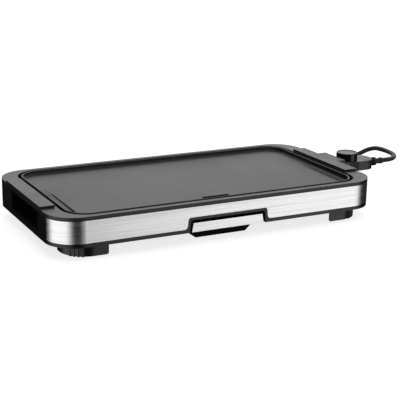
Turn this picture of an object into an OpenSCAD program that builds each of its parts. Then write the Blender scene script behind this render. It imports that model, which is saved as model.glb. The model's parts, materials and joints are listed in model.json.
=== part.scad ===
// Electric griddle: a cast plate in a plastic base, with a drip tray and a plug-in thermostat probe.
// Millimetres. Z is up from the table, +X is to the right, towards the probe, and -Y is the front.

/* [Body] */
// Width of the base, left to right
body_w = 600; // [560:5:660]
// Depth of the base, front to back
body_d = 314; // [300:2:340]
// Corner radius of the base in plan
corner_r = 50; // [45:1:60]
// Height of the base's lower edge above the table
skirt_z = 20.5; // [18:0.5:24]
// Height of the top of the rim around the plate
rim_z = 70; // [69:0.5:72]
// Height of the top of the handles
handle_z = 73.7; // [73:0.1:76]

/* [Steel band] */
// Thickness of the brushed steel band
band_t = 0.9; // [0.6:0.1:1.2]
// Lower edge of the band
band_z0 = 27; // [26:0.5:28]
// Upper edge of the band
band_z1 = 63.5; // [63:0.5:64]
// How far back the band runs around each front corner, as a Y position
band_back_y = -116; // [-130:1:-110]

/* [Griddle plate] */
// Gap between the plate and the rim around it
plate_gap = 6; // [3:0.5:7]
// Height of the cooking floor at the middle
floor_z = 63; // [62:0.5:64]
// Fall of the cooking floor towards the front, in degrees
floor_fall = 0.4; // [0:0.1:0.8]

/* [Thermostat probe] */
// Position of the probe along the right side, from the middle
probe_y = 5; // [0:1:10]
// Width of the probe's housing
probe_w = 48; // [44:1:50]
// Height of the probe's axis above the table
axis_z = 55; // [54:0.5:56]
// Diameter of the temperature knob
knob_d = 40; // [34:0.2:42]

/* [Drip tray] */
// Width of the tray's front panel at its top edge
panel_w = 128; // [120:2:132]

/* [Cord] */
// Diameter of the mains lead
cord_d = 9; // [8:0.5:9]
// Radius of the coil at the middle of its turns
coil_r = 54; // [48:1:56]

/* [Hidden] */
$fn = 72;

// Play left between pieces on different bodies
play = 0.4;

// The object reaches from the base's left side to the probe's end, and is centred between them
probe_end_x = body_w / 2 + 96;
body_x = (body_w / 2 - probe_end_x) / 2;

// Base
wall = 3;
deck_t = 2.5;
hx = body_w / 2;
hy = body_d / 2;
rim_side = 28;
rim_front = 9.5;
rim_in_w = body_w - 2 * rim_side;
rim_in_d = body_d - 2 * rim_front;
rim_in_r = 42;
handle_w = 25;
handle_half = 88;
grip_y0 = -77;
grip_y1 = 58;
grip_z0 = 31;
hood_y0 = probe_y - 33;
hood_y1 = probe_y + 33;
hood_x = hx + 17;
hood_z0 = 66;

// Tray notch in the front, given as half widths
notch_top = 46.3;
notch_half = 73.8;
notch_spread = 6;
flare_r = 6;
surround_w = 4.9;
bay_half = 71;
bay_y1 = -48;
bay_top = 44.5;

// Plate
plate_w = rim_in_w - 2 * plate_gap;
plate_d = rim_in_d - 2 * plate_gap;
plate_r = rim_in_r - plate_gap;
plate_top = rim_z + 0.5;
plate_lip = 2.5;
plate_wall = 15 - plate_gap - plate_lip;
plate_under = 58.6;
plate_foot = 55;
hollow_half = 245;
hollow_y0 = -98;
hollow_y1 = 123;
floor_half_w = plate_w / 2 - plate_lip - plate_wall;
floor_half_d = plate_d / 2 - plate_lip - plate_wall;
channel_x0 = floor_half_w - 10;
channel_x1 = floor_half_w - 0.2;
channel_drop = 3.6;
channel_back_y = 12;
drain_half = 26;
drain_y0 = -128;
drain_y1 = -108;

// Heating
element_r = 3.3;
element_z = 55;
deck_z = 46;
reflector_t = 0.8;
pin_pitch = 24;
pin_r = 2.3;
pin_end_x = hx - 4;
leg_y = [-85, -28, 38, 95];
loop_x0 = -205;
loop_x1 = 150;
bend_r = 25;

// Probe
probe_x0 = hx + 3;
probe_z0 = 46.8;
probe_z1 = 64.8;
probe_t = 2;
nose_x0 = hx - 24;
nose_w = 38;
nose_z0 = 47.5;
nose_z1 = 62.5;
knob_x = hx + 43.5;
knob_z0 = probe_z1 + play;
knob_z1 = 79.5;
shaft_r = 3;
rod_r = 2.9;
rod_tip_x = 195;
switch_x0 = hx + 30;
switch_x1 = hx + 62;

// Tray
tray_z0 = 1.5;
tray_top = 33;
tray_half = 51;
tray_foot = 47;
tray_y0 = -149;
tray_y1 = -52;
tray_lean = 19;
tray_t = 2;
flange_half = 66;
panel_z0 = 21;
panel_z1 = 36.3;
rivet_x = [-45, 45];
rivet_z = 29;

// Cord: the route runs from the strain relief to the coil, and its points are set by hand
relief_end_x = probe_end_x + 32;
cord_r = cord_d / 2;
coil_x = 240;
coil_y = 232;
coil_z0 = 1;
coil_layers = 3;
coil_entry_y = coil_y - coil_r;
cord_route = [
  [428, 5, 55], [437, 5, 55], [447, 6.5, 55], [457, 11, 55], [466, 18.5, 55], [473, 28, 55],
  [478, 40, 55], [481, 54, 55], [482, 69, 55], [482, 85, 54.5], [482, 100, 53], [481, 114, 49],
  [478, 127, 43], [474, 139, 35.5], [467, 150, 27.5], [458, 160, 20], [446, 169, 13.5],
  [431, 176, 8.5], [414, 180.5, 6], [396, 183.5, 5.5], [376, 185, 5.5], [354, 186, 5.5],
  [332, 186, 5.5], [310, 184.5, 5.5], [288, 182, 5.5], [266, 179.5, 5.5], [246, 178.5, 5.5],
  [240, 178, 5.5]
];
tail_route = [
  [240, 178, 23.5], [225, 178, 23], [210, 178, 22], [195, 178, 20.5], [180, 178, 19.5],
  [163, 178, 19], [146, 178, 19]
];
plug_x = 146;
plug_z = 19;

// ---- Shared shapes ----

module on_body() {
  translate([body_x, 0, 0]) children();
}

// Rectangle with round corners, centred on the origin
module round_rect(w, d, r) {
  square([w - 2 * r, d], center = true);
  square([w, d - 2 * r], center = true);
  for (sx = [-1, 1], sy = [-1, 1]) translate([sx * (w / 2 - r), sy * (d / 2 - r)]) circle(r);
}

module slab(w, d, r, z0, z1) {
  translate([0, 0, z0]) linear_extrude(z1 - z0) round_rect(w, d, r);
}

module box(x0, x1, y0, y1, z0, z1) {
  translate([x0, y0, z0]) cube([x1 - x0, y1 - y0, z1 - z0]);
}

// Straight rod along X
module rod_x(x0, x1, y, z, r) {
  translate([x0, y, z]) rotate([0, 90, 0]) cylinder(r = r, h = x1 - x0);
}

module post(x, y, z0, z1, r) {
  translate([x, y, z0]) cylinder(r = r, h = z1 - z0);
}

// Points of an arc, for outlines with round corners
function arc_pts(cx, cy, r, a0, a1, n) =
  [for (i = [0:n]) let (a = a0 + (a1 - a0) * i / n) [cx + r * cos(a), cy + r * sin(a)]];

// Outline in X and Z, extruded from y0 to y1
module front_prism(y0, y1) {
  translate([0, y1, 0]) rotate([90, 0, 0]) linear_extrude(y1 - y0) children();
}

// Mirrors an outline's right half, listed from the top down, and closes it
module mirrored_outline(right) {
  n = len(right);
  polygon(concat(right, [for (i = [n - 1:-1:0]) [-right[i][0], right[i][1]]]));
}

// Half width of the notch at a height, where its sides spread towards the foot
function notch_side(half, z) = half + (notch_top - 5 - z) * tan(notch_spread);

// Outer edge of the tray surround, which flares out into the lower edge of the band
module notch_outer(bottom) {
  x = notch_side(notch_half, band_z0 + flare_r);
  mirrored_outline(concat(
    arc_pts(notch_half - 5, notch_top - 5, 5, 90, 5, 6),
    arc_pts(x + flare_r, band_z0 + flare_r, flare_r, 180, 270, 6),
    [[x + flare_r, bottom]]
  ));
}

// Inner edge of the tray surround
module notch_inner(bottom) {
  half = notch_half - surround_w;
  top = notch_top - surround_w;
  mirrored_outline(concat(
    arc_pts(half - 3, top - 3, 3, 90, 5, 4),
    [[notch_side(half, bottom), bottom]]
  ));
}

module corners() {
  for (sx = [-1, 1], sy = [-1, 1]) scale_mirror(sx, sy) children();
}

module scale_mirror(sx, sy) {
  mirror([sx < 0 ? 1 : 0, 0, 0]) mirror([0, sy < 0 ? 1 : 0, 0]) children();
}

// ---- Base ----

frame_spots = [
  [286, 102], [286, -102], [-286, 102], [-286, -102],
  [150, 150.5], [-150, 150.5], [150, -150.5], [-150, -150.5]
];
handle_spots = [[287.5, 84], [287.5, -84], [-287.5, 84], [-287.5, -84]];
reflector_spots = [[190, 112], [190, -112], [-190, 112], [-190, -112], [0, 118]];
buffer_spots = [
  [254, 100], [254, -100], [-254, 100], [-254, -100], [110, 134], [-110, 134], [110, -134], [-110, -134]
];
foot_x0 = 207;
foot_x1 = 276;
foot_y0 = 98;
foot_y1 = 147;
foot_r = 45;
foot_bolts = [[228, 138], [267, 113]];
pad_x = 249;
pad_y = 127;
pad_r = 7;

// Hollow below the right handle, open outwards
module grip_hollow() {
  box(hx - handle_w, hx + 1, grip_y0, grip_y1, grip_z0, band_z1 + 1);
}

// Lining of a hand grip, a cup that stands behind the opening in the base's wall
module grip_cup() {
  difference() {
    box(hx - handle_w - deck_t, hx - wall, grip_y0 - deck_t, grip_y1 + deck_t, grip_z0 - deck_t, band_z1);
    grip_hollow();
  }
}

module left_grip_cup() {
  on_body() color([0.07, 0.07, 0.075]) mirror([1, 0, 0]) grip_cup();
}

module right_grip_cup() {
  on_body() color([0.07, 0.07, 0.075]) difference() {
    grip_cup();
    // Port for the probe's sockets and sensor
    box(hx - handle_w - deck_t - 1, hx - handle_w + 1, probe_y - 17, probe_y + 17, 48, band_z1 + 1);
  }
}

// Housing over the tray, standing on the base's floor, with the drain hole in its roof
module tray_housing() {
  on_body() color([0.08, 0.08, 0.085]) difference() {
    box(-bay_half - deck_t, bay_half + deck_t, -hy + wall, bay_y1 + deck_t, skirt_z + deck_t, bay_top);
    box(-bay_half, bay_half, -hy, bay_y1, skirt_z, bay_top - deck_t);
    box(-drain_half - 5, drain_half + 5, drain_y0 - 3, drain_y1 + 5, bay_top - 4, bay_top + 1);
  }
}

module front_region() {
  box(-hx - 5, hx + 5, -hy - 5, band_back_y, band_z0, band_z1);
}

// Screw bores through the bosses of the wall, with seats for the heads
module base_bores() {
  for (p = concat(frame_spots, handle_spots)) {
    post(p[0], p[1], skirt_z - 1, band_z1 + 1, 1.7);
    post(p[0], p[1], skirt_z - 1, skirt_z + 2, 3.2);
  }
}

// Wall of the base, with screw bosses and the ledge ribs that carry the rim frame
module base_frame() {
  on_body() color([0.09, 0.09, 0.095]) difference() {
    union() {
      difference() {
        slab(body_w, body_d, corner_r, skirt_z, band_z1);
        slab(body_w - 2 * wall, body_d - 2 * wall, corner_r - wall, skirt_z - 1, band_z1 + 1);
      }
      for (p = concat(frame_spots, handle_spots)) post(p[0], p[1], skirt_z + deck_t, band_z1, 4);
      // Webs that tie the side bosses to the wall
      for (sx = [-1, 1], y = [-102, -84, 84, 102])
        scale_mirror(sx, 1) box(287, hx - 1, y - 1.5, y + 1.5, skirt_z + deck_t, band_z1);
      for (x = [-220:55:220]) box(x - 1, x + 1, hy - 8, hy - 1, skirt_z + deck_t, band_z1);
      for (x = [-220, -165, -110, 110, 165, 220])
        box(x - 1, x + 1, -hy + 1, -hy + 8, skirt_z + deck_t, band_z1);
    }
    // Openings for the hand grips and for the tray
    for (sx = [-1, 1]) scale_mirror(sx, 1) grip_hollow();
    front_prism(-hy - 1, -hy + wall + 1) notch_inner(skirt_z - 1);
    // Seat of the surround and of the steel band
    front_prism(-hy - 1, -hy + 2) notch_outer(skirt_z - 1);
    intersection() {
      front_region();
      difference() {
        slab(body_w + 2, body_d + 2, corner_r + 1, band_z0, band_z1);
        slab(body_w - 2 * band_t, body_d - 2 * band_t, corner_r - band_t, band_z0 - 1, band_z1 + 1);
      }
    }
    base_bores();
  }
}

// Floor of the base, fitted inside the wall, with vents and an opening under the tray
module bottom_plate() {
  on_body() color([0.09, 0.09, 0.095]) difference() {
    slab(body_w - 2 * wall, body_d - 2 * wall, corner_r - wall, skirt_z, skirt_z + deck_t);
    box(-bay_half, bay_half, -hy, bay_y1, skirt_z - 1, skirt_z + deck_t + 1);
    // Vent slots
    for (sx = [-1, 1], i = [0:5], y = [-60, 10, 80]) {
      x = sx * 165 - 55 + i * 18;
      box(x, x + 6, y - 22, y + 22, skirt_z - 1, skirt_z + deck_t + 1);
    }
    base_bores();
    for (p = reflector_spots) post(p[0], p[1], skirt_z - 1, skirt_z + deck_t + 1, 1.6);
    corners() for (p = foot_bolts) post(p[0], p[1], skirt_z - 1, skirt_z + deck_t + 1, 1.7);
  }
}

// Sleeves that stand on the floor and hold the reflector up
module reflector_spacers() {
  on_body() color([0.70, 0.70, 0.71]) for (p = reflector_spots) difference() {
    post(p[0], p[1], skirt_z + deck_t, deck_z, 4.5);
    post(p[0], p[1], skirt_z + deck_t - 1, deck_z + 1, 1.6);
  }
}

module rim_frame() {
  on_body() color([0.30, 0.30, 0.31]) difference() {
    slab(body_w, body_d, corner_r, band_z1, rim_z);
    slab(rim_in_w, rim_in_d, rim_in_r, band_z1 - 1, rim_z + 1);
    // Seats of the two handles
    for (sx = [-1, 1]) scale_mirror(sx, 1)
      box(hx - handle_w, hx + 1, -handle_half, handle_half, band_z1 - 1, rim_z + 1);
    for (p = frame_spots) post(p[0], p[1], band_z1 - 1, band_z1 + 4, 1.3);
  }
}

module steel_band() {
  on_body() color([0.80, 0.80, 0.81]) difference() {
    intersection() {
      difference() {
        slab(body_w, body_d, corner_r, band_z0, band_z1);
        slab(body_w - 2 * band_t, body_d - 2 * band_t, corner_r - band_t, band_z0 - 1, band_z1 + 1);
      }
      front_region();
    }
    front_prism(-hy - 1, -hy + wall) notch_outer(band_z0 - 1);
  }
}

module tray_surround() {
  on_body() color([0.12, 0.12, 0.125]) front_prism(-hy, -hy + 2) difference() {
    notch_outer(skirt_z);
    notch_inner(skirt_z - 1);
  }
}

module handle_bar() {
  difference() {
    box(hx - handle_w, hx, -handle_half, handle_half, band_z1, handle_z);
    for (sy = [-1, 1]) post(handle_spots[0][0], sy * handle_spots[0][1], band_z1 - 1, band_z1 + 5, 1.3);
  }
}

module left_handle() {
  on_body() color([0.30, 0.30, 0.31]) mirror([1, 0, 0]) handle_bar();
}

module right_handle() {
  on_body() color([0.30, 0.30, 0.31]) {
    handle_bar();
    // Hood over the probe, with a cheek on each side
    box(hx - 1, hood_x, hood_y0, hood_y1, hood_z0, handle_z);
    for (y = [hood_y0, hood_y1 - 4]) box(hx, hood_x - 2, y, y + 4, axis_z - 8, hood_z0 + 1);
  }
}

// A foot in plan: a round outer wall, closed by a slanted inner side
module foot_outline() {
  polygon(concat(
    arc_pts(foot_x1 - foot_r, foot_y1 - foot_r, foot_r, 0, 90, 24),
    [[foot_x0 + 2, foot_y1], [foot_x0, foot_y1 - 2], [foot_x0 + 1, foot_y1 - 5]],
    [[foot_x1 - 6, foot_y0], [foot_x1, foot_y0 - 1]]
  ));
}

module foot(sx, sy) {
  on_body() color([0.07, 0.07, 0.075]) scale_mirror(sx, sy) difference() {
    union() {
      translate([0, 0, 0.8]) linear_extrude(3) offset(delta = -1.5) foot_outline();
      translate([0, 0, 2.5]) linear_extrude(skirt_z - 2.5) foot_outline();
      // Upright ribs around the outer corner
      for (a = [38:9:65])
        translate([foot_x1 - foot_r, foot_y1 - foot_r, 0]) rotate(a) post(foot_r - 1.5, 0, 0.8, skirt_z, 2.6);
    }
    post(pad_x, pad_y, 0, 3, pad_r);
    for (p = foot_bolts) {
      post(p[0], p[1], 0, skirt_z + 1, 1.8);
      post(p[0], p[1], 0, 12, 3.6);
    }
  }
}

module foot_front_left() foot(-1, -1);
module foot_front_right() foot(1, -1);
module foot_rear_left() foot(-1, 1);
module foot_rear_right() foot(1, 1);

module foot_pads() {
  on_body() color([0.05, 0.05, 0.05]) corners() post(pad_x, pad_y, 0, 3, pad_r);
}

// A screw driven up from below, with its head just inside the base's lower edge
module base_screw(p, depth) {
  post(p[0], p[1], skirt_z + 0.2, skirt_z + 2, 3);
  post(p[0], p[1], skirt_z + 0.2, band_z1 + depth, 1.3);
}

module frame_screws() {
  on_body() color([0.65, 0.65, 0.66]) for (p = frame_spots) base_screw(p, 4);
}

module handle_screws() {
  on_body() color([0.65, 0.65, 0.66]) for (p = handle_spots) base_screw(p, 5);
}

module foot_screws() {
  on_body() color([0.65, 0.65, 0.66]) corners() for (p = foot_bolts) {
    post(p[0], p[1], 10, 12, 3.2);
    post(p[0], p[1], 10, skirt_z + deck_t, 1.6);
  }
}

// ---- Heating ----

module heat_reflector() {
  on_body() color([0.72, 0.72, 0.73]) difference() {
    slab(530, 286, 38, deck_z, plate_foot - 1.5);
    slab(530 - 2 * reflector_t, 286 - 2 * reflector_t, 37, deck_z + reflector_t, plate_foot);
    // Notch around the plate's spout, open to the front
    box(-drain_half - 5, drain_half + 5, -hy, drain_y1 + 5, deck_z - 1, plate_foot);
    box(262, 270, probe_y - 24, probe_y + 24, deck_z - 1, plate_foot);
    for (p = reflector_spots) post(p[0], p[1], deck_z - 1, deck_z + 2, 1.7);
  }
}

module reflector_screws() {
  on_body() color([0.65, 0.65, 0.66]) for (p = reflector_spots) {
    post(p[0], p[1], deck_z + reflector_t, deck_z + reflector_t + 1.8, 3);
    post(p[0], p[1], skirt_z + 0.5, deck_z + reflector_t + 1, 1.55);
  }
}

module element_bend(x, y, a0, sweep, r) {
  translate([x, y, element_z]) rotate([0, 0, a0]) rotate_extrude(angle = sweep)
    translate([r, 0]) circle(element_r, $fn = 32);
}

module element_leg(x0, x1, y) {
  rod_x(x0, x1, y, element_z, element_r);
}

module element_riser(x, y0, y1) {
  translate([x, y1, element_z]) rotate([90, 0, 0]) cylinder(r = element_r, h = y1 - y0);
}

module heating_element() {
  y_a = probe_y - pin_pitch / 2;
  y_b = probe_y + pin_pitch / 2;
  riser_x = 225;
  on_body() color([0.20, 0.20, 0.21]) union() {
    element_leg(loop_x0, riser_x - bend_r, leg_y[0]);
    element_leg(loop_x0, loop_x1, leg_y[1]);
    element_leg(loop_x0, loop_x1, leg_y[2]);
    element_leg(loop_x0, riser_x - bend_r, leg_y[3]);
    element_bend(loop_x0, (leg_y[0] + leg_y[1]) / 2, 90, 180, (leg_y[1] - leg_y[0]) / 2);
    element_bend(loop_x1, (leg_y[1] + leg_y[2]) / 2, -90, 180, (leg_y[2] - leg_y[1]) / 2);
    element_bend(loop_x0, (leg_y[2] + leg_y[3]) / 2, 90, 180, (leg_y[3] - leg_y[2]) / 2);
    element_bend(riser_x - bend_r, leg_y[0] + bend_r, -90, 90, bend_r);
    element_riser(riser_x, leg_y[0] + bend_r, y_a - bend_r);
    element_bend(riser_x + bend_r, y_a - bend_r, 90, 90, bend_r);
    element_leg(riser_x + bend_r, 261.5, y_a);
    element_bend(riser_x - bend_r, leg_y[3] - bend_r, 0, 90, bend_r);
    element_riser(riser_x, y_b + bend_r, leg_y[3] - bend_r);
    element_bend(riser_x + bend_r, y_b + bend_r, 180, 90, bend_r);
    element_leg(riser_x + bend_r, 261.5, y_b);
  }
}

module element_brackets() {
  on_body() color([0.75, 0.75, 0.76]) for (x = [-130, 60], y = leg_y) difference() {
    box(x - 4, x + 4, y - 6, y + 6, deck_z + reflector_t, element_z + 1);
    rod_x(x - 5, x + 5, y, element_z, element_r);
    box(x - 5, x + 5, y - element_r, y + element_r, element_z, element_z + 2);
  }
}

module terminal_block() {
  on_body() color([0.90, 0.88, 0.82]) difference() {
    box(261.5, 270.5, probe_y - 20, probe_y + 20, deck_z + reflector_t, plate_under - 0.6);
    for (s = [-1, 1]) rod_x(260, 272, probe_y + s * pin_pitch / 2, axis_z, pin_r);
    rod_x(260, 272, probe_y, axis_z, rod_r + 0.5);
    box(262.5, 272, probe_y - 3, probe_y + 3, 48.6, 49.8);
  }
}

module terminal_pins() {
  on_body() color([0.78, 0.78, 0.78]) for (s = [-1, 1])
    rod_x(261.5, pin_end_x, probe_y + s * pin_pitch / 2, axis_z, pin_r);
}

module earth_blade() {
  on_body() color([0.82, 0.70, 0.38])
    box(262.5, pin_end_x - 2, probe_y - 3, probe_y + 3, 48.6, 49.8);
}

module plate_buffers() {
  on_body() color([0.75, 0.30, 0.20]) for (p = buffer_spots)
    post(p[0], p[1], deck_z + reflector_t, plate_foot, 5);
}

module sensor_guide() {
  on_body() color([0.75, 0.75, 0.76]) {
    box(204, 250, probe_y - 4.2, probe_y + 4.2, deck_z + reflector_t, deck_z + reflector_t + 0.8);
    for (s = [-1, 1])
      box(204, 250, probe_y + s * 3.8 - 0.4, probe_y + s * 3.8 + 0.4, deck_z + reflector_t, axis_z + 2);
  }
}

module tray_runners() {
  on_body() color([0.14, 0.14, 0.145]) for (sx = [-1, 1]) scale_mirror(sx, 1) {
    box(tray_half + 2, bay_half, tray_y0 + 3, tray_y1 + 2, 28, tray_top - 2.3);
    box(flange_half + 1, bay_half, tray_y0 + 3, tray_y1 + 2, 28, bay_top - deck_t);
  }
}

// ---- Griddle plate ----

module floor_cut(x0, x1, y0, y1, drop0, drop1) {
  fall = atan2(drop1 - drop0, y1 - y0);
  translate([0, y0, floor_z + y0 * tan(floor_fall) - drop0])
    rotate([floor_fall - fall, 0, 0])
      translate([x0, 0, 0]) cube([x1 - x0, (y1 - y0) / cos(fall), 30]);
}

// Thin slice of the pocket over the cooking floor, at a distance inside the plate's edge
module pocket_level(inset, z, t) {
  slab(plate_w - 2 * inset, plate_d - 2 * inset, plate_r - inset, z, z + t, $fn = 48);
}

module plate_pocket() {
  hull() {
    pocket_level(plate_lip, plate_top, 1);
    pocket_level(plate_lip + 1.5, floor_z + 4, 0.1);
    rotate([floor_fall, 0, 0]) pocket_level(plate_lip + plate_wall, floor_z, 0.1);
  }
}

module griddle_plate() {
  on_body() color([0.24, 0.24, 0.245]) difference() {
    union() {
      slab(plate_w, plate_d, plate_r, plate_foot, plate_top);
      // Spout under the drain
      box(-drain_half - 3, drain_half + 3, drain_y0 - 2, drain_y1 + 3, bay_top - 4, plate_foot + 1);
    }
    plate_pocket();
    // Side channels that deepen towards the front, and the front channel that joins them
    for (sx = [-1, 1]) scale_mirror(sx, 1)
      floor_cut(channel_x0, channel_x1, -floor_half_d + 12, channel_back_y, channel_drop, 0);
    box(-floor_half_w + 14, floor_half_w - 14, -floor_half_d + 0.3, -floor_half_d + 12,
      floor_z - 1 - channel_drop, floor_z + 1);
    for (sx = [-1, 1]) scale_mirror(sx, 1)
      box(floor_half_w - 16, channel_x1 - 2, -floor_half_d + 5, -floor_half_d + 13,
        floor_z - 1 - channel_drop, floor_z + 1);
    // Drain slot
    box(-drain_half, drain_half, drain_y0, drain_y1, bay_top - 5, floor_z + 3);
    // Hollow underside, with a flat roof over the heating element, and a way in for the probe
    translate([0, (hollow_y0 + hollow_y1) / 2, 0])
      slab(2 * hollow_half, hollow_y1 - hollow_y0, 30, plate_foot - 1, plate_under);
    box(hollow_half - 5, plate_w / 2 + 1, probe_y - 24, probe_y + 24, plate_foot - 1, plate_under);
  }
}

// ---- Drip tray ----

module tray_outline(inset) {
  top = tray_half - inset;
  foot = tray_foot - inset;
  polygon([
    [-top, tray_top + inset], [-foot, tray_z0 + inset], [foot, tray_z0 + inset], [top, tray_top + inset]
  ]);
}

// Profile of the tray from the side, whose front wall leans back below the panel
module tray_profile(inset) {
  rotate([90, 0, 90]) linear_extrude(2 * tray_half + 2, center = true) polygon([
    [tray_y0 + inset, tray_top + inset], [tray_y0 + inset, panel_z0],
    [tray_y0 + tray_lean + inset * 0.5, tray_z0 + inset], [tray_y1 - inset, tray_z0 + inset],
    [tray_y1 - inset, tray_top + inset]
  ]);
}

module tray_tub(inset) {
  intersection() {
    front_prism(tray_y0 - 1, tray_y1 + 1) tray_outline(inset);
    tray_profile(inset);
  }
}

module drip_tray() {
  on_body() color([0.06, 0.06, 0.065]) difference() {
    union() {
      tray_tub(0);
      box(-flange_half, flange_half, tray_y0, tray_y1, tray_top - 2, tray_top);
      // Front plate behind the steel panel
      front_prism(tray_y0 - 6.5, tray_y0 + 2) panel_outline(1.2);
    }
    tray_tub(tray_t);
    for (x = rivet_x) translate([x, tray_y0 - 8, rivet_z]) rotate([-90, 0, 0]) cylinder(r = 1.6, h = 12);
  }
}

module panel_outline(inset) {
  half = panel_w / 2 - inset;
  foot = half + 2.8;
  polygon([[-foot, panel_z0 + inset * 0.6], [-half, panel_z1 - inset], [half, panel_z1 - inset],
    [foot, panel_z0 + inset * 0.6]]);
}

module tray_front_panel() {
  on_body() color([0.82, 0.82, 0.83]) difference() {
    front_prism(-hy, tray_y0 - 0.5) panel_outline(0);
    front_prism(-hy + 1, tray_y0) panel_outline(1);
    for (x = rivet_x) translate([x, -hy + 0.4, rivet_z]) rotate([-90, 0, 0]) cylinder(r = 1.6, h = 12);
  }
}

module tray_rivets() {
  on_body() color([0.70, 0.70, 0.71]) for (x = rivet_x) translate([x, 0, rivet_z]) {
    translate([0, -hy + 0.4, 0]) rotate([-90, 0, 0]) cylinder(r = 1.6, h = tray_y0 + 2 + hy - 0.4);
    translate([0, tray_y0 + 2, 0]) rotate([-90, 0, 0]) cylinder(r = 3, h = 1.5);
  }
}

// ---- Thermostat probe ----

module probe_outline(inset) {
  half = probe_w / 2 - inset;
  neck = half - 3.5;
  r = 22 - inset;
  x1 = probe_end_x - inset;
  x0 = probe_x0 + inset;
  translate([0, probe_y]) polygon(concat(
    [[x0, -neck], [hx + 37, -neck], [hx + 56, -half]],
    arc_pts(x1 - r, -half + r, r, -90, 0, 10),
    arc_pts(x1 - r, half - r, r, 0, 90, 10),
    [[hx + 56, half], [hx + 37, neck], [x0, neck]]
  ));
}

module probe_solid(inset, z0, z1) {
  translate([0, 0, z0]) linear_extrude(z1 - z0) probe_outline(inset);
}

probe_screw_spots = [for (x = [hx + 24, hx + 78], sy = [-1, 1]) [x, probe_y + sy * 17]];

// Seat of the strain relief, cut into both shells
module relief_seat() {
  rod_x(probe_end_x - 13, probe_end_x - 7, probe_y, axis_z, 5);
  rod_x(probe_end_x - 8, probe_end_x - 4.5, probe_y, axis_z, 7.2);
  rod_x(probe_end_x - 5, probe_end_x + 1, probe_y, axis_z, 5);
}

module socket_cut() {
  for (s = [-1, 1]) rod_x(nose_x0 - 1, hx + 14, probe_y + s * pin_pitch / 2, axis_z, 4);
  rod_x(nose_x0 - 1, hx + 14, probe_y, axis_z, rod_r);
  box(nose_x0 - 1, hx + 6, probe_y - 3.6, probe_y + 3.6, 47.9, 50.5);
}

module probe_lower_shell() {
  on_body() color([0.16, 0.16, 0.165]) difference() {
    union() {
      difference() {
        probe_solid(0, probe_z0, axis_z);
        probe_solid(probe_t, probe_z0 + probe_t, axis_z + 1);
      }
      // Nose that carries the sockets into the grip
      box(nose_x0, hx + 12, probe_y - nose_w / 2, probe_y + nose_w / 2, nose_z0, axis_z);
      for (p = probe_screw_spots) post(p[0], p[1], probe_z0 + 1, axis_z, 3.2);
      box(probe_end_x - 12, probe_end_x - 1, probe_y - 10, probe_y + 10, probe_z0 + 1, axis_z);
    }
    socket_cut();
    relief_seat();
    for (p = probe_screw_spots) post(p[0], p[1], probe_z0 - 1, axis_z + 1, 1.6);
    for (p = probe_screw_spots) post(p[0], p[1], probe_z0 - 1, probe_z0 + 2, 3.0);
  }
}

module probe_upper_shell() {
  on_body() color([0.30, 0.30, 0.31]) difference() {
    union() {
      difference() {
        probe_solid(0, axis_z, probe_z1);
        probe_solid(probe_t, axis_z - 1, probe_z1 - probe_t);
      }
      box(nose_x0, hx + 12, probe_y - nose_w / 2, probe_y + nose_w / 2, axis_z, nose_z1);
      for (p = probe_screw_spots) post(p[0], p[1], axis_z, probe_z1 - 1, 3.2);
      box(probe_end_x - 12, probe_end_x - 1, probe_y - 10, probe_y + 10, axis_z, probe_z1 - 1);
    }
    socket_cut();
    relief_seat();
    post(knob_x, probe_y, axis_z, probe_z1 + 1, 5.5);
    for (p = probe_screw_spots) post(p[0], p[1], axis_z - 1, probe_z1 - 3, 1.3);
  }
}

module probe_screws() {
  on_body() color([0.65, 0.65, 0.66]) for (p = probe_screw_spots) {
    post(p[0], p[1], probe_z0 + 0.2, probe_z0 + 2, 2.8);
    post(p[0], p[1], probe_z0 + 0.2, probe_z1 - 4, 1.3);
  }
}

module sensor_rod() {
  on_body() color([0.75, 0.75, 0.76]) {
    rod_x(rod_tip_x + rod_r, hx + 13, probe_y, axis_z, rod_r);
    translate([rod_tip_x + rod_r, probe_y, axis_z]) sphere(rod_r);
  }
}

module contact_sockets() {
  on_body() color([0.85, 0.72, 0.40]) for (s = [-1, 1]) difference() {
    rod_x(nose_x0 + 1, hx + 14, probe_y + s * pin_pitch / 2, axis_z, 3.9);
    rod_x(nose_x0, hx + 2, probe_y + s * pin_pitch / 2, axis_z, pin_r + play);
  }
}

module earth_contact() {
  on_body() color([0.85, 0.72, 0.40]) {
    box(nose_x0 + 1, hx + 6, probe_y - 3.5, probe_y + 3.5, 47.9, 48.3);
    box(hx - 1, hx + 6, probe_y - 3.5, probe_y + 3.5, 48.3, 50.4);
  }
}

module thermostat_switch() {
  on_body() color([0.88, 0.86, 0.80]) difference() {
    union() {
      box(switch_x0, switch_x1, probe_y - 14, probe_y + 14, probe_z0 + probe_t, axis_z + 1.5);
      // Stack of leaf contacts behind the shaft
      box(switch_x1 - 8, switch_x1 - 2, probe_y - 8, probe_y + 8, axis_z + 1, axis_z + 5);
    }
    post(knob_x, probe_y, axis_z - 5, axis_z + 2, shaft_r + 0.06);
  }
}

module switch_leads() {
  on_body() color([0.45, 0.25, 0.12]) {
    for (s = [-1, 1]) {
      rod_x(hx + 14, switch_x0, probe_y + s * 12, axis_z, 1.2);
      rod_x(switch_x1, probe_end_x - 12.5, probe_y + s * 2.6, axis_z - 1.5, 1.2);
    }
  }
}

module knob_bush() {
  on_body() color([0.82, 0.70, 0.38]) difference() {
    union() {
      post(knob_x, probe_y, probe_z1 - probe_t - 3, probe_z1, 5.4);
      post(knob_x, probe_y, probe_z1 - probe_t - 3, probe_z1 - probe_t - 0.1, 8);
    }
    post(knob_x, probe_y, probe_z0, probe_z1 + 1, shaft_r + 0.06);
  }
}

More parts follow.
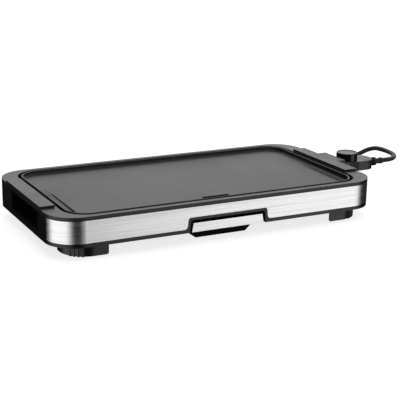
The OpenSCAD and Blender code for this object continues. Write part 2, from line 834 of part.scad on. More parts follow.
module temperature_knob() {
  on_body() color([0.10, 0.10, 0.105]) translate([knob_x, probe_y, 0]) difference() {
    union() {
      translate([0, 0, knob_z0]) cylinder(d = knob_d - 1.2, h = knob_z1 - knob_z0);
      for (a = [0:15:359]) rotate(a) box(knob_d / 2 - 2, knob_d / 2, -1, 1, knob_z0, knob_z1 - 1.2);
    }
    translate([0, 0, knob_z1 - 1.6]) cylinder(d = knob_d - 5, h = 3);
    translate([0, 0, knob_z0 - 1]) cylinder(r = shaft_r, h = 9);
  }
}

module knob_disc() {
  on_body() color([0.55, 0.55, 0.56]) difference() {
    post(knob_x, probe_y, knob_z1 - 1.6, knob_z1 - 0.8, (knob_d - 5.2) / 2);
    translate([knob_x + 7, probe_y - 0.8, knob_z1 - 1.1]) cube([8, 1.6, 2]);
  }
}

module knob_shaft() {
  on_body() color([0.75, 0.75, 0.76]) post(knob_x, probe_y, axis_z - 4.9, knob_z0 + 8, shaft_r);
}

// ---- Mains lead ----

// Tapered stretch of the strain relief, between two distances past the housing's end
module relief_taper(x0, x1, r0, r1) {
  translate([probe_end_x + x0, probe_y, axis_z]) rotate([0, 90, 0]) cylinder(r1 = r0, r2 = r1, h = x1 - x0);
}

module strain_relief() {
  on_body() color([0.05, 0.05, 0.05]) {
    rod_x(probe_end_x - 7.9, probe_end_x - 4.6, probe_y, axis_z, 7.1);
    rod_x(probe_end_x - 12.5, probe_end_x + 9, probe_y, axis_z, 4.9);
    rod_x(probe_end_x + 8, probe_end_x + 13, probe_y, axis_z, 8.2);
    relief_taper(12.5, 25, 5.8, 4.9);
    rod_x(probe_end_x + 24.5, probe_end_x + 29.5, probe_y, axis_z, 6.1);
    relief_taper(29.5, relief_end_x - probe_end_x, 5.6, 4.9);
  }
}

function unit(v) = v / norm(v);
function tangent(p, i) = unit(p[min(i + 1, len(p) - 1)] - p[max(i - 1, 0)]);
function side_of(t) = unit(cross(t, [0, 0, 1]));
function ring(p, i, r, sides) =
  let (t = tangent(p, i), u = side_of(t), v = cross(u, t))
  [for (k = [0:sides - 1]) p[i] + r * (cos(360 * k / sides) * u + sin(360 * k / sides) * v)];

// One closed tube swept along the points of a route
module swept_tube(p, r, sides) {
  n = len(p);
  points = [for (i = [0:n - 1]) each ring(p, i, r, sides)];
  walls = [for (i = [0:n - 2], k = [0:sides - 1])
    [i * sides + k, (i + 1) * sides + k, (i + 1) * sides + (k + 1) % sides, i * sides + (k + 1) % sides]];
  start = [for (k = [0:sides - 1]) k];
  finish = [for (k = [sides - 1:-1:0]) (n - 1) * sides + k];
  polyhedron(points, concat([start], walls, [finish]));
}

module cord() {
  on_body() color([0.06, 0.06, 0.06]) swept_tube(cord_route, cord_r, 12);
}

module cord_tail() {
  on_body() color([0.06, 0.06, 0.06]) swept_tube(tail_route, cord_r, 12);
}

module cord_coil() {
  on_body() color([0.06, 0.06, 0.06]) translate([coil_x, coil_y, coil_z0]) rotate_extrude()
    translate([coil_r - cord_r, 0]) square([cord_d, coil_layers * cord_d]);
}

module cord_tie() {
  h = coil_layers * cord_d;
  on_body() color([0.12, 0.12, 0.12]) translate([coil_x, coil_y, 0]) rotate(35)
    translate([coil_r, 0, coil_z0]) difference() {
      translate([-cord_r - 1, -4, -1]) cube([cord_d + 2, 8, h + 2]);
      rotate(-35) translate([-coil_r * cos(35), -coil_r * sin(35), 0]) rotate_extrude()
        translate([coil_r - cord_r, 0]) square([cord_d, h]);
    }
}

module earth_clips() {
  for (s = [-1, 1]) translate([0, coil_entry_y, plug_z + s * 18])
    box(plug_x - 43, plug_x - 31, -2.5, 2.5, -0.5, 0.5);
}

module plug_body() {
  on_body() color([0.07, 0.07, 0.07]) difference() {
    translate([plug_x, coil_entry_y, plug_z]) rotate([0, -90, 0]) rotate_extrude() polygon([
      [0, 0], [5.5, 0], [6.5, 3], [8, 12], [12, 20], [17, 26], [18.4, 28], [18.4, 42], [17.5, 44], [0, 44]
    ]);
    earth_clips();
  }
}

module plug_pins() {
  on_body() color([0.80, 0.80, 0.80]) for (s = [-1, 1])
    translate([plug_x - 44, coil_entry_y + s * 9.5, plug_z]) rotate([0, -90, 0]) {
      cylinder(r = 2.4, h = 17.5);
      translate([0, 0, 17.5]) cylinder(r1 = 2.4, r2 = 1.4, h = 1.5);
    }
}

module plug_earth_clips() {
  on_body() color([0.80, 0.80, 0.80]) earth_clips();
}

base_frame();
bottom_plate();
reflector_spacers();
left_grip_cup();
right_grip_cup();
tray_housing();
rim_frame();
steel_band();
tray_surround();
left_handle();
right_handle();
foot_front_left();
foot_front_right();
foot_rear_left();
foot_rear_right();
foot_pads();
heat_reflector();
heating_element();
element_brackets();
terminal_block();
terminal_pins();
earth_blade();
plate_buffers();
sensor_guide();
tray_runners();
frame_screws();
handle_screws();
reflector_screws();
foot_screws();
griddle_plate();
drip_tray();
tray_front_panel();
tray_rivets();
probe_lower_shell();
probe_upper_shell();
sensor_rod();
contact_sockets();
earth_contact();
thermostat_switch();
switch_leads();
knob_bush();
probe_screws();
temperature_knob();
knob_disc();
knob_shaft();
strain_relief();
cord();
cord_coil();
cord_tail();
cord_tie();
plug_body();
plug_pins();
plug_earth_clips();
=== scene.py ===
"""Looks of the electric griddle: camera, lights, materials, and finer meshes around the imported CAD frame.

The scene is in metres, in the frame of the CAD model. Most lengths below are in millimetres, and at() or
MM turns them into metres.
"""

import json
import math

import bmesh
import bpy
from mathutils import Matrix, Vector


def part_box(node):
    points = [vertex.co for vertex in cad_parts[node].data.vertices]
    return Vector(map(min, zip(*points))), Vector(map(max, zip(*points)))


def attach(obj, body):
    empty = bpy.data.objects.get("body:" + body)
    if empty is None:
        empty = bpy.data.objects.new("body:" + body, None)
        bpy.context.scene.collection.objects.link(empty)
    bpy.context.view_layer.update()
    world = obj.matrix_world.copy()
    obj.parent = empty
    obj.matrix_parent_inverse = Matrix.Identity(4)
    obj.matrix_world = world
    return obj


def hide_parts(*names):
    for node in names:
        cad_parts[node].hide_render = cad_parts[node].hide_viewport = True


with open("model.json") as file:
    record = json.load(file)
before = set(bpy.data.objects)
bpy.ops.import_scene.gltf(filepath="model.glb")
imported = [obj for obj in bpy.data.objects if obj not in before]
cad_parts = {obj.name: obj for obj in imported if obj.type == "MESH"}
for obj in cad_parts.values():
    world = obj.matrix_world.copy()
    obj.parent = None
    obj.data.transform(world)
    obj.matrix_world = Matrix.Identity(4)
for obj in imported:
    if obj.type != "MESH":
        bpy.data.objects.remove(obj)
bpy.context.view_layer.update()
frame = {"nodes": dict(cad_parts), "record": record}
scene = bpy.context.scene
nodes = frame["nodes"]

MM = 0.001
BASE_LO, BASE_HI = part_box("base_frame")
MIDDLE_X = (BASE_LO.x + BASE_HI.x) / 2
PROBE_Y = sum(c.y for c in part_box("temperature_knob")) / 2


def at(x, y, z):
    """A point of the shared frame, from millimetres measured from the middle of the base."""
    return Vector((MIDDLE_X + x * MM, y * MM, z * MM))


# ---------------------------------------------------------------- camera

CAMERA_AT = at(-799.9, -1604.2, 547.2)
CAMERA_YAW = math.radians(27.28)
CAMERA_PITCH = math.radians(16.2)
CAMERA_ROLL = math.radians(0.92)
CAMERA_LENS = 94.8


def make_camera():
    """A camera turned right by the yaw, down by the pitch, and then rolled about its own axis."""
    data = bpy.data.cameras.new("camera")
    data.lens = CAMERA_LENS
    data.sensor_width = 36
    data.clip_start = 0.05
    camera = bpy.data.objects.new("camera", data)
    scene.collection.objects.link(camera)
    turn = Matrix.Rotation(-CAMERA_YAW, 4, "Z")
    tip = Matrix.Rotation(math.pi / 2 - CAMERA_PITCH, 4, "X")
    roll = Matrix.Rotation(CAMERA_ROLL, 4, "Z")
    camera.matrix_world = Matrix.Translation(CAMERA_AT) @ turn @ tip @ roll
    scene.camera = camera


make_camera()

# ---------------------------------------------------------------- mesh helpers


def new_object(name, data, body):
    """A piece that moves with one of the CAD bodies."""
    piece = bpy.data.objects.new(name, data)
    scene.collection.objects.link(piece)
    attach(piece, body)
    return piece


SMOOTH_ANGLE = math.radians(30)


def smooth(piece):
    """Smooth shading that stays sharp at edges steeper than SMOOTH_ANGLE."""
    mesh = piece.data
    for face in mesh.polygons:
        face.use_smooth = True
    mesh.set_sharp_from_angle(angle=SMOOTH_ANGLE)


FLAT_ANGLE = math.radians(1.5)
SHARP_ANGLE = math.radians(32)


def soften(piece, width):
    """Rounds a piece's sharp edges with modifiers, after its flat faces are joined up."""
    flat = piece.modifiers.new("flat_faces", "DECIMATE")
    flat.decimate_type = "DISSOLVE"
    flat.angle_limit = FLAT_ANGLE
    bevel = piece.modifiers.new("round_edges", "BEVEL")
    bevel.width = width * MM
    bevel.segments = 2
    bevel.limit_method = "ANGLE"
    bevel.angle_limit = SHARP_ANGLE
    bevel.use_clamp_overlap = True
    weights = piece.modifiers.new("even_normals", "WEIGHTED_NORMAL")
    weights.keep_sharp = True


def loft(name, loops, body):
    """A mesh through loops of points, with a cap on each end."""
    bm = bmesh.new()
    rows = [[bm.verts.new(p) for p in loop] for loop in loops]
    count = len(loops[0])
    for low, high in zip(rows, rows[1:]):
        for i in range(count):
            j = (i + 1) % count
            bm.faces.new((low[i], low[j], high[j], high[i]))
    bm.faces.new(list(reversed(rows[0])))
    bm.faces.new(rows[-1])
    bmesh.ops.recalc_face_normals(bm, faces=bm.faces)
    mesh = bpy.data.meshes.new(name)
    bm.to_mesh(mesh)
    bm.free()
    return new_object(name, mesh, body)


def corner_loop(half_w, y0, y1, radius, height, steps, stops=()):
    """Points of a rectangle with round corners in plan, each corner in a number of steps. height gives z
    from a point's y, and stops are more y values to pass through along the two sides, front to back."""
    points = []
    middles = ((1, y1, 0), (-1, y1, 90), (-1, y0, 180), (1, y0, 270))
    for side, y_edge, start in middles:
        cx = side * (half_w - radius)
        cy = y_edge - radius if y_edge == y1 else y_edge + radius
        for i in range(steps + 1):
            a = math.radians(start + 90 * i / steps)
            x = cx + radius * math.cos(a)
            y = cy + radius * math.sin(a)
            points.append(at(x, y, height(y)))
        if start == 90:
            points += [at(-half_w, y, height(y)) for y in reversed(stops)]
        if start == 270:
            points += [at(half_w, y, height(y)) for y in stops]
    return points


def level(z):
    """A height for corner_loop that is the same all round."""
    return lambda _y: z


# ---------------------------------------------------------------- material helpers


# Most noise values lie between these two.
NOISE_LOW = 0.3
NOISE_HIGH = 0.7


class Paint:
    """A material under construction: its nodes, its links and its principled shader."""

    def __init__(self, name):
        self.material = bpy.data.materials.new(name)
        self.material.use_nodes = True
        self.tree = self.material.node_tree
        self.shader = self.tree.nodes["Principled BSDF"]
        self.place = self.tree.nodes.new("ShaderNodeTexCoord").outputs["Object"]

    def set(self, **values):
        for key, value in values.items():
            self.shader.inputs[key.replace("_", " ")].default_value = value
        return self

    def noise(self, scale, detail, stretch=(1, 1, 1), roughness=0.5):
        """Noise over the object's own space. scale is in cycles per metre, before the stretch."""
        mapping = self.tree.nodes.new("ShaderNodeMapping")
        mapping.inputs["Scale"].default_value = stretch
        texture = self.tree.nodes.new("ShaderNodeTexNoise")
        texture.inputs["Scale"].default_value = scale
        texture.inputs["Detail"].default_value = detail
        texture.inputs["Roughness"].default_value = roughness
        self.tree.links.new(self.place, mapping.inputs["Vector"])
        self.tree.links.new(mapping.outputs["Vector"], texture.inputs["Vector"])
        return texture.outputs["Fac"]

    def spread(self, value, low, high):
        """Maps a noise value onto a range of numbers."""
        ranged = self.tree.nodes.new("ShaderNodeMapRange")
        ranged.inputs["From Min"].default_value = NOISE_LOW
        ranged.inputs["From Max"].default_value = NOISE_HIGH
        ranged.inputs["To Min"].default_value = low
        ranged.inputs["To Max"].default_value = high
        self.tree.links.new(value, ranged.inputs["Value"])
        return ranged.outputs["Result"]

    def mix(self, value, dark, light):
        """Mixes two colours by a noise value."""
        ramp = self.tree.nodes.new("ShaderNodeValToRGB")
        ramp.color_ramp.elements[0].position = NOISE_LOW
        ramp.color_ramp.elements[0].color = (*dark, 1)
        ramp.color_ramp.elements[1].position = NOISE_HIGH
        ramp.color_ramp.elements[1].color = (*light, 1)
        self.tree.links.new(value, ramp.inputs["Fac"])
        return ramp.outputs["Color"]

    def feed(self, output, socket):
        self.tree.links.new(output, self.shader.inputs[socket])

    def bump(self, value, depth, strength):
        """Raises the surface by depth millimetres where the value is 1."""
        bump = self.tree.nodes.new("ShaderNodeBump")
        bump.inputs["Strength"].default_value = strength
        bump.inputs["Distance"].default_value = depth * MM
        self.tree.links.new(value, bump.inputs["Height"])
        last = self.shader.inputs["Normal"]
        if last.is_linked:
            self.tree.links.new(last.links[0].from_socket, bump.inputs["Normal"])
        self.tree.links.new(bump.outputs["Normal"], last)


def grey(value):
    return (value, value, value * 1.01)


def moulded_plastic(name, shade, rough, grain, grain_scale=1400):
    """Moulded plastic: a fine spark-eroded grain, with faint smears that change its gloss."""
    paint = Paint(name)
    smear = paint.noise(scale=18, detail=4)
    paint.feed(paint.mix(smear, grey(shade * 0.88), grey(shade * 1.12)), "Base Color")
    paint.feed(paint.spread(smear, rough - 0.04, rough + 0.05), "Roughness")
    paint.bump(paint.noise(scale=grain_scale, detail=2), depth=grain, strength=0.5)
    return paint.material


def brushed_steel(name, shade):
    """Steel brushed along the band, with long fine scratches that lie level."""
    paint = Paint(name)
    scratches = paint.noise(scale=1.0, detail=3, stretch=(7, 7, 1500), roughness=0.62)
    bands = paint.noise(scale=1.0, detail=2, stretch=(3, 3, 260))
    paint.set(Metallic=1.0, Anisotropic=0.4, Anisotropic_Rotation=0.0)
    paint.feed(paint.mix(scratches, grey(shade * 0.80), grey(min(shade * 1.14, 1.0))), "Base Color")
    paint.feed(paint.spread(bands, 0.20, 0.28), "Roughness")
    tangent = paint.tree.nodes.new("ShaderNodeTangent")
    tangent.direction_type = "RADIAL"
    tangent.axis = "Z"
    paint.feed(tangent.outputs["Tangent"], "Tangent")
    paint.bump(scratches, depth=0.01, strength=0.35)
    return paint.material


def nonstick_coating(name):
    """Sprayed non-stick coat on cast aluminium: a satin black with a fine orange peel and tiny flecks."""
    paint = Paint(name)
    flecks = paint.noise(scale=2600, detail=2)
    cloud = paint.noise(scale=9, detail=3)
    paint.set(Specular_IOR_Level=0.46)
    paint.feed(paint.mix(flecks, grey(0.010), grey(0.020)), "Base Color")
    paint.feed(paint.spread(cloud, 0.36, 0.41), "Roughness")
    paint.bump(paint.noise(scale=420, detail=3), depth=0.05, strength=0.35)
    paint.bump(flecks, depth=0.012, strength=0.3)
    return paint.material


def bright_metal(name, colour, rough):
    """Plated or drawn metal with faint turning marks."""
    paint = Paint(name)
    paint.set(Metallic=1.0)
    marks = paint.noise(scale=500, detail=3, stretch=(1, 1, 4))
    dark = tuple(c * 0.86 for c in colour)
    paint.feed(paint.mix(marks, dark, colour), "Base Color")
    paint.feed(paint.spread(marks, rough - 0.06, rough + 0.08), "Roughness")
    return paint.material


def heated_sheath(name):
    """Steel sheath of the element, darkened unevenly by heat."""
    paint = Paint(name)
    paint.set(Metallic=0.9)
    stain = paint.noise(scale=40, detail=5)
    paint.feed(paint.mix(stain, (0.055, 0.05, 0.048), (0.19, 0.17, 0.15)), "Base Color")
    paint.feed(paint.spread(stain, 0.4, 0.6), "Roughness")
    paint.bump(paint.noise(scale=900, detail=3), depth=0.03, strength=0.4)
    return paint.material


def soft_rubber(name, colour, rough, sheen=0.1):
    paint = Paint(name)
    paint.set(Sheen_Weight=sheen)
    wear = paint.noise(scale=60, detail=4)
    dark = tuple(c * 0.75 for c in colour)
    light = tuple(c * 1.25 for c in colour)
    paint.feed(paint.mix(wear, dark, light), "Base Color")
    paint.feed(paint.spread(wear, rough - 0.05, rough + 0.08), "Roughness")
    paint.bump(paint.noise(scale=1100, detail=2), depth=0.02, strength=0.4)
    return paint.material


def glazed_ceramic(name):
    paint = Paint(name)
    paint.set(Coat_Weight=0.4, Coat_Roughness=0.15)
    pits = paint.noise(scale=350, detail=3)
    paint.feed(paint.mix(pits, (0.72, 0.69, 0.62), (0.84, 0.82, 0.76)), "Base Color")
    paint.feed(paint.spread(pits, 0.4, 0.55), "Roughness")
    paint.bump(pits, depth=0.03, strength=0.3)
    return paint.material


MATERIALS = {
    "black_plastic": moulded_plastic("black_plastic", shade=0.007, rough=0.28, grain=0.01),
    "grey_plastic": moulded_plastic("grey_plastic", shade=0.022, rough=0.36, grain=0.025, grain_scale=1000),
    "band_steel": brushed_steel("band_steel", shade=0.78),
    "nonstick": nonstick_coating("nonstick"),
    "sheet_metal": bright_metal("sheet_metal", colour=(0.70, 0.70, 0.71), rough=0.34),
    "element_sheath": heated_sheath("element_sheath"),
    "ceramic": glazed_ceramic("ceramic"),
    "bright_steel": bright_metal("bright_steel", colour=(0.80, 0.80, 0.81), rough=0.22),
    "brass": bright_metal("brass", colour=(0.80, 0.60, 0.28), rough=0.26),
    "silicone": soft_rubber("silicone", colour=(0.30, 0.06, 0.035), rough=0.55, sheen=0.3),
    "rubber": soft_rubber("rubber", colour=(0.014, 0.014, 0.014), rough=0.5),
    "knob_plastic": moulded_plastic("knob_plastic", shade=0.006, rough=0.25, grain=0.008),
    "knob_plate": moulded_plastic("knob_plate", shade=0.16, rough=0.4, grain=0.02),
    "wire": soft_rubber("wire", colour=(0.26, 0.10, 0.04), rough=0.5),
}


def dress(piece, slot):
    """Gives a piece the material of one of the record's slots, in place of its own."""
    piece.data.materials.clear()
    piece.data.materials.append(MATERIALS[slot])


def dress_cad_nodes():
    for entry in frame["record"]["subparts"]:
        dress(nodes[entry["node"]], entry["material_slot"])


dress_cad_nodes()

# ---------------------------------------------------------------- mains lead

# The lead runs from the probe along ROUTE, around the coil, and along TAIL to the plug. The points are
# in millimetres, for at().
CORD_D = 9 * MM
COIL_AT = at(240, 232, 0)
COIL_R = 54 * MM
COIL_TURNS = 2
COIL_STEP = 9 * MM
COIL_CLIMB = 0.2
LEAD_Z = 5.5 * MM
ROUTE = [
    (428, 5, 55), (437, 5, 55), (447, 6.5, 55), (457, 11, 55), (466, 18.5, 55), (473, 28, 55),
    (478, 40, 55), (481, 54, 55), (482, 69, 55), (482, 85, 54.5), (482, 100, 53), (481, 114, 49),
    (478, 127, 43), (474, 139, 35.5), (467, 150, 27.5), (458, 160, 20), (446, 169, 13.5),
    (431, 176, 8.5), (414, 180.5, 6), (396, 183.5, 5.5), (376, 185, 5.5), (354, 186, 5.5),
    (332, 186, 5.5), (310, 184.5, 5.5), (288, 182, 5.5), (266, 179.5, 5.5), (246, 178.5, 5.5),
]
TAIL = [(225, 178, 23), (210, 178, 22), (195, 178, 20.5), (180, 178, 19.5), (163, 178, 19), (146, 178, 19)]
TURN_POINTS = 24


def coil_points():
    """The turns of the coil, clockwise from its front, each laid on the one below over its last part."""
    points = []
    for i in range(COIL_TURNS * TURN_POINTS + 1):
        turns = i / TURN_POINTS
        climb = max(0.0, (turns % 1 - (1 - COIL_CLIMB)) / COIL_CLIMB)
        z = LEAD_Z + COIL_STEP * (math.floor(turns) + climb)
        a = math.radians(-90) - turns * math.tau
        points.append(Vector((COIL_AT.x + COIL_R * math.cos(a), COIL_AT.y + COIL_R * math.sin(a), z)))
    return points


def path_length(points):
    return sum((b - a).length for a, b in zip(points, points[1:]))


def make_lead():
    points = [at(*p) for p in ROUTE] + coil_points() + [at(*p) for p in TAIL]
    curve = bpy.data.curves.new("mains_lead", "CURVE")
    curve.dimensions = "3D"
    curve.bevel_depth = 1.0
    curve.bevel_resolution = 5
    curve.resolution_u = 6
    curve.use_fill_caps = True
    spline = curve.splines.new("BEZIER")
    spline.bezier_points.add(len(points) - 1)
    for knot, point in zip(spline.bezier_points, points):
        knot.co = point
        knot.radius = CORD_D / 2
        knot.handle_left_type = "AUTO"
        knot.handle_right_type = "AUTO"
    lead = new_object("mains_lead", curve, "probe")
    dress(lead, "rubber")
    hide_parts("cord", "cord_coil", "cord_tail")
    print("lead is", round(path_length(points), 4), "m along its points")


make_lead()

# ---------------------------------------------------------------- griddle plate

# Outline and heights, from the frame
PLATE_LO, PLATE_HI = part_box("griddle_plate")
PLATE_HALF_W = (PLATE_HI.x - PLATE_LO.x) / 2 / MM
PLATE_HALF_D = (PLATE_HI.y - PLATE_LO.y) / 2 / MM
PLATE_TOP = PLATE_HI.z / MM
PLATE_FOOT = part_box("plate_buffers")[1].z / MM
SPOUT_FOOT = PLATE_LO.z / MM
PLATE_R = 36.0
CORNER_STEPS = 12

# Raised rim: the width and height of its rounded top, and the run of the wall from there to the floor
LIP = 3.2
LIP_ROUND = 1.2
WALL_RUN = 2.6
WALL_STEEPNESS = 1.6
ROUND_STEPS = 8

# Cooking floor, which falls to the front
FLOOR_Z = 63.0
FLOOR_FALL = math.radians(0.4)

# Channel around the floor. It begins at CHANNEL_BACK with a short step, which takes STEP_SHARE of its
# drop, and is at its deepest CHANNEL_FRONT behind the plate's front edge.
CHANNEL_DROP = 3.6
CHANNEL_BACK = 12.0
CHANNEL_STEP = 7.0
CHANNEL_FRONT = 22.0
STEP_SHARE = 0.45
FOOT_SHARE = 0.35

# The channel's section: the distance from the wall's foot at the sides and at the front, and the share of
# the drop there
CHANNEL = (
    (1.2, 0.8, 0.8),
    (2.6, 1.6, 1.0),
    (14.0, 4.7, 1.0),
    (14.6, 5.3, 0.93),
    (15.2, 6.1, 0.07),
    (15.8, 6.7, 0.0),
    (17.5, 8.4, 0.0),
    (18.2, 9.1, 0.0),
)
SIDE_STOPS = (-20.0, CHANNEL_BACK - CHANNEL_STEP, CHANNEL_BACK - CHANNEL_STEP / 2, CHANNEL_BACK, 50.0)

# Hollow under the plate, with a notch that lets the sensor rod in from the right
HOLLOW_HALF_W = 245.0
HOLLOW_FRONT = -98.0
HOLLOW_BACK = 123.0
HOLLOW_R = 30.0
HOLLOW_ROOF = 58.6
ROOF_EDGE = 1.0
FOOT_EDGE = 0.6
SIDE_EDGE = 1.0
SIDE_ROUND = 0.3
NOTCH_HALF = 24.0
NOTCH_LAP = 5.0

# Drain slot, and the spout under it
SLOT_HALF_W = 25.0
SLOT_FRONT = -128.0
SLOT_BACK = -106.0
SLOT_R = 3.0
SPOUT_WALL = 3.0
SPOUT_FRONT_WALL = 2.0
SPOUT_R = 5.0
SPOUT_TOP = 60.0

# How far the cutters reach past what they cut
CUT_LAP = 2.0
SLOT_CUT_RISE = 3.0
BLOCK_STEPS = 5


def floor_height(drop, lift=0.0):
    """Height of the floor or the channel by y, with a share of the channel's drop and a lift above it."""

    def height(y):
        ahead = max(0.0, CHANNEL_BACK - y)
        slope = min(1.0, ahead / (CHANNEL_BACK + PLATE_HALF_D - CHANNEL_FRONT))
        depth = STEP_SHARE * min(1.0, ahead / CHANNEL_STEP) + (1 - STEP_SHARE) * slope
        return FLOOR_Z + y * math.tan(FLOOR_FALL) + lift - drop * CHANNEL_DROP * depth

    return height


def plate_loop(inset, height, front=None):
    """A loop at one inset from the plate's outline, or with another inset at its front."""
    y0 = -PLATE_HALF_D + (inset if front is None else front)
    y1 = PLATE_HALF_D - inset
    return corner_loop(PLATE_HALF_W - inset, y0, y1, PLATE_R - inset, height, CORNER_STEPS, SIDE_STOPS)


def hollow_loop(grow, z):
    """A level loop around the hollow, grown outwards."""
    y0 = HOLLOW_FRONT - grow
    y1 = HOLLOW_BACK + grow
    return corner_loop(HOLLOW_HALF_W + grow, y0, y1, HOLLOW_R + grow, level(z), CORNER_STEPS, SIDE_STOPS)


def underside_loops():
    """Loops from the hollow's roof down to the plate's foot, and out to its side."""
    return [
        hollow_loop(-ROOF_EDGE, HOLLOW_ROOF),
        hollow_loop(0.0, HOLLOW_ROOF - ROOF_EDGE),
        hollow_loop(0.0, PLATE_FOOT + FOOT_EDGE),
        hollow_loop(FOOT_EDGE, PLATE_FOOT),
        plate_loop(SIDE_EDGE, level(PLATE_FOOT)),
        plate_loop(SIDE_ROUND, level(PLATE_FOOT + SIDE_ROUND)),
        plate_loop(0.0, level(PLATE_FOOT + SIDE_EDGE)),
    ]


def rim_loops():
    """Loops up the plate's side, over its rounded rim, and down the wall to the floor."""
    shoulder = PLATE_TOP - LIP_ROUND
    loops = [plate_loop(0.0, level(shoulder))]
    for i in range(1, ROUND_STEPS + 1):
        a = math.pi * i / ROUND_STEPS
        loops.append(plate_loop(LIP / 2 - LIP / 2 * math.cos(a), level(shoulder + LIP_ROUND * math.sin(a))))
    for i in range(1, ROUND_STEPS + 1):
        a = math.pi / 2 * i / ROUND_STEPS
        inset = LIP + WALL_RUN * (1 - math.cos(a)) ** WALL_STEEPNESS
        lift = (shoulder - FLOOR_Z) * (1 - math.sin(a))
        loops.append(plate_loop(inset, floor_height(FOOT_SHARE * i / ROUND_STEPS, lift)))
    return loops


def channel_loops():
    """Loops through the channel and up onto the cooking floor."""
    foot = LIP + WALL_RUN
    return [plate_loop(foot + side, floor_height(drop), foot + front) for side, front, drop in CHANNEL]


def box_mesh(name, x, y, z, radius=0.01):
    """A block between pairs of limits, with upright round corners, to cut with or to add."""
    shift = Vector(((x[0] + x[1]) / 2 * MM, 0, 0))
    ends = [corner_loop((x[1] - x[0]) / 2, *y, radius, level(height), BLOCK_STEPS) for height in z]
    return loft(name, [[point + shift for point in end] for end in ends], "plate")


def combine(piece, other, operation):
    """Applies a Boolean to a piece's mesh and removes the other object."""
    change = piece.modifiers.new(operation, "BOOLEAN")
    change.operation = operation
    change.object = other
    change.solver = "EXACT"
    bpy.context.view_layer.update()
    result = bpy.data.meshes.new_from_object(piece.evaluated_get(bpy.context.evaluated_depsgraph_get()))
    piece.modifiers.clear()
    piece.data = result
    bpy.data.objects.remove(other)


def spout_block():
    half = SLOT_HALF_W + SPOUT_WALL
    depths = (SLOT_FRONT - SPOUT_FRONT_WALL, SLOT_BACK + SPOUT_WALL)
    return box_mesh("spout", (-half, half), depths, (SPOUT_FOOT, SPOUT_TOP), SPOUT_R)


def slot_cutter():
    heights = (SPOUT_FOOT - CUT_LAP, FLOOR_Z + SLOT_CUT_RISE)
    return box_mesh("slot", (-SLOT_HALF_W, SLOT_HALF_W), (SLOT_FRONT, SLOT_BACK), heights, SLOT_R)


def notch_cutter():
    middle = PROBE_Y / MM
    x = (HOLLOW_HALF_W - NOTCH_LAP, PLATE_HALF_W + CUT_LAP)
    y = (middle - NOTCH_HALF, middle + NOTCH_HALF)
    return box_mesh("notch", x, y, (PLATE_FOOT - NOTCH_LAP, HOLLOW_ROOF))


def make_plate():
    """The cast plate, with a finer rim, channel and drain slot than its CAD node."""
    plate = loft("griddle_plate_cast", underside_loops() + rim_loops() + channel_loops(), "plate")
    combine(plate, spout_block(), "UNION")
    combine(plate, slot_cutter(), "DIFFERENCE")
    combine(plate, notch_cutter(), "DIFFERENCE")
    smooth(plate)
    dress(plate, "nonstick")
    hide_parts("griddle_plate")


make_plate()

# ---------------------------------------------------------------- knob scale

TICKS = 15
TICK_SWEEP = math.radians(280)
TICK_HALF_W = 0.45 * MM
TICK_SUNK = 0.1 * MM
TICK_RAISED = 0.06 * MM
# The ticks' ends, as shares of the disc's radius. Every LONG_EVERY ticks there is a longer one.
TICK_OUTER = 0.9
TICK_INNER = 0.68
LONG_TICK_INNER = 0.56
LONG_EVERY = 7


def tick_corners(i, radius):
    """Corners of one tick in plan, from the middle of the disc."""
    turn = Matrix.Rotation(TICK_SWEEP * (i / (TICKS - 1) - 0.5), 3, "Z")
    inner = radius * (LONG_TICK_INNER if i % LONG_EVERY == 0 else TICK_INNER)
    outer = radius * TICK_OUTER
    plan = ((-TICK_HALF_W, inner), (TICK_HALF_W, inner), (TICK_HALF_W, outer), (-TICK_HALF_W, outer))
    return [turn @ Vector((x, y, 0)) for x, y in plan]


def make_ticks():
    """Plain radial ticks printed around the knob's disc, which turn with it."""
    lo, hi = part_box("knob_disc")
    top = Vector(((lo.x + hi.x) / 2, (lo.y + hi.y) / 2, hi.z))
    verts = []
    faces = []
    for i in range(TICKS):
        n = len(verts)
        corners = tick_corners(i, (hi.x - lo.x) / 2)
        for rise in (-TICK_SUNK, TICK_RAISED):
            verts += [top + corner + Vector((0, 0, rise)) for corner in corners]
        faces += [(n, n + 3, n + 2, n + 1), (n + 4, n + 5, n + 6, n + 7)]
        faces += [(n + k, n + (k + 1) % 4, n + 4 + (k + 1) % 4, n + 4 + k) for k in range(4)]
    mesh = bpy.data.meshes.new("knob_ticks")
    mesh.from_pydata(verts, [], faces)
    ticks = new_object("knob_ticks", mesh, "knob")
    dress(ticks, "knob_plastic")


make_ticks()

# ---------------------------------------------------------------- rounded edges on the other CAD pieces

# Width of the round edge of each piece
EDGES = {
    "base_frame": 0.8,
    "rim_frame": 1.6,
    "left_handle": 1.6,
    "right_handle": 1.6,
    "left_grip_cup": 0.5,
    "right_grip_cup": 0.5,
    "steel_band": 0.25,
    "tray_surround": 0.4,
    "tray_front_panel": 0.35,
    "drip_tray": 0.7,
    "foot_front_left": 1.1,
    "foot_front_right": 1.1,
    "foot_rear_left": 1.1,
    "foot_rear_right": 1.1,
    "foot_pads": 0.6,
    "temperature_knob": 0.6,
    "knob_disc": 0.2,
    "probe_lower_shell": 0.8,
    "probe_upper_shell": 1.4,
    "strain_relief": 0.5,
    "cord_tie": 0.6,
    "plug_body": 1.0,
}


def soften_cad_nodes():
    for name, width in EDGES.items():
        soften(nodes[name], width)


soften_cad_nodes()

# ---------------------------------------------------------------- studio


def area_light(name, place, target, width, height, power):
    data = bpy.data.lights.new(name, "AREA")
    data.shape = "RECTANGLE"
    data.size = width
    data.size_y = height
    data.energy = power
    light = bpy.data.objects.new(name, data)
    light.location = place
    light.rotation_euler = (Vector(target) - Vector(place)).to_track_quat("-Z", "Y").to_euler()
    scene.collection.objects.link(light)


FLOOR_REACH = 30
FLOOR_GAP = 0.2 * MM


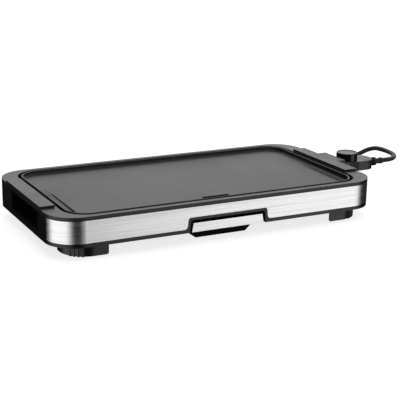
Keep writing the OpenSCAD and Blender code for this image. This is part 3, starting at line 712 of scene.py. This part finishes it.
def make_floor():
    """A white table. It glows, so that only a faint shade is left around the object."""
    mesh = bpy.data.meshes.new("floor")
    corners = [(x * FLOOR_REACH, y * FLOOR_REACH, 0) for x, y in ((-1, -1), (1, -1), (1, 1), (-1, 1))]
    mesh.from_pydata(corners, [], [(0, 1, 2, 3)])
    floor = bpy.data.objects.new("floor", mesh)
    floor.location.z = -FLOOR_GAP
    floor.visible_glossy = False
    floor.visible_diffuse = False
    scene.collection.objects.link(floor)
    paint = Paint("floor").set(Base_Color=(0.5, 0.5, 0.5, 1), Roughness=1.0, Specular_IOR_Level=0.0)
    paint.set(Emission_Color=(1, 1, 1, 1), Emission_Strength=0.8)
    mesh.materials.append(paint.material)


# Soft boxes around the object. Each has the azimuth of its middle, clockwise from +Y in degrees, the
# half width that is evenly lit, the width of its soft edge, its brightness, and 1 or -1 for the half
# of the room that it lights, above or below the horizon.
SOFT_BOXES = (
    (-102, 26, 30, 1.32, -1),
    (143, 0, 34, 1.36, -1),
    (29, 2, 18, 0.34, -1),
    (34, 34, 26, 1.12, 1),
    (175, 50, 50, 0.32, 1),
)
ROOM_SHADE = 0.02
CEILING = 0.4
# Heights are the Z of a direction, from -1 to 1: the blur at the horizon, where the boxes below it fade
# out, and where the ceiling fades in.
HORIZON = 0.03
LOW_FADE = (-0.62, -0.42)
CEILING_FADE = (0.6, 0.9)


class Room:
    """The light that comes from each direction, built up from soft boxes."""

    def __init__(self, name):
        self.world = bpy.data.worlds.new(name)
        self.world.use_nodes = True
        self.tree = self.world.node_tree
        way = self.tree.nodes.new("ShaderNodeSeparateXYZ")
        self.tree.links.new(self.tree.nodes.new("ShaderNodeTexCoord").outputs["Generated"], way.inputs[0])
        self.height = way.outputs["Z"]
        self.azimuth = self.math("ARCTAN2", way.outputs["X"], way.outputs["Y"])
        self.total = None

    def math(self, operation, *values):
        """The result of a Math node, whose inputs are numbers or other nodes' outputs."""
        node = self.tree.nodes.new("ShaderNodeMath")
        node.operation = operation
        for socket, value in zip(node.inputs, values):
            if isinstance(value, (int, float)):
                socket.default_value = value
            else:
                self.tree.links.new(value, socket)
        return node.outputs[0]

    def ramp(self, value, start, stop, low, high):
        """A smooth step from low to high as the value goes from start to stop."""
        node = self.tree.nodes.new("ShaderNodeMapRange")
        node.interpolation_type = "SMOOTHSTEP"
        limits = {"From Min": start, "From Max": stop, "To Min": low, "To Max": high}
        for key, limit in limits.items():
            node.inputs[key].default_value = limit
        self.tree.links.new(value, node.inputs["Value"])
        return node.outputs["Result"]

    def add_box(self, middle, half, edge, power, side):
        """Adds a box that fades out from half to half + edge degrees away from its middle."""
        turned = self.math("SUBTRACT", self.azimuth, math.radians(middle))
        away = self.math("ABSOLUTE", self.math("WRAP", turned, math.pi, -math.pi))
        glow = self.ramp(away, math.radians(half), math.radians(half + edge), power, 0.0)
        part = self.ramp(self.height, -HORIZON * side, HORIZON * side, 0.0, 1.0)
        if side < 0:
            part = self.math("MULTIPLY", part, self.ramp(self.height, *LOW_FADE, 0.0, 1.0))
        lit = self.math("MULTIPLY", glow, part)
        self.total = lit if self.total is None else self.math("ADD", self.total, lit)

    def finish(self):
        """Adds the room's shade and ceiling. The camera itself sees plain white behind the table."""
        seen = self.tree.nodes.new("ShaderNodeLightPath").outputs["Is Camera Ray"]
        ceiling = self.ramp(self.height, *CEILING_FADE, ROOM_SHADE, CEILING)
        power = self.math("MAXIMUM", self.math("ADD", self.total, ceiling), seen)
        self.tree.links.new(power, self.tree.nodes["Background"].inputs["Strength"])
        self.tree.nodes["Background"].inputs["Color"].default_value = (1, 1, 1, 1)
        scene.world = self.world


def make_room():
    room = Room("studio")
    for box in SOFT_BOXES:
        room.add_box(*box)
    room.finish()


make_floor()
make_room()
scene.view_settings.view_transform = "Standard"
area_light("overhead", place=(-0.5, -0.4, 2.4), target=(0, 0, 0), width=1.6, height=1.2, power=5)
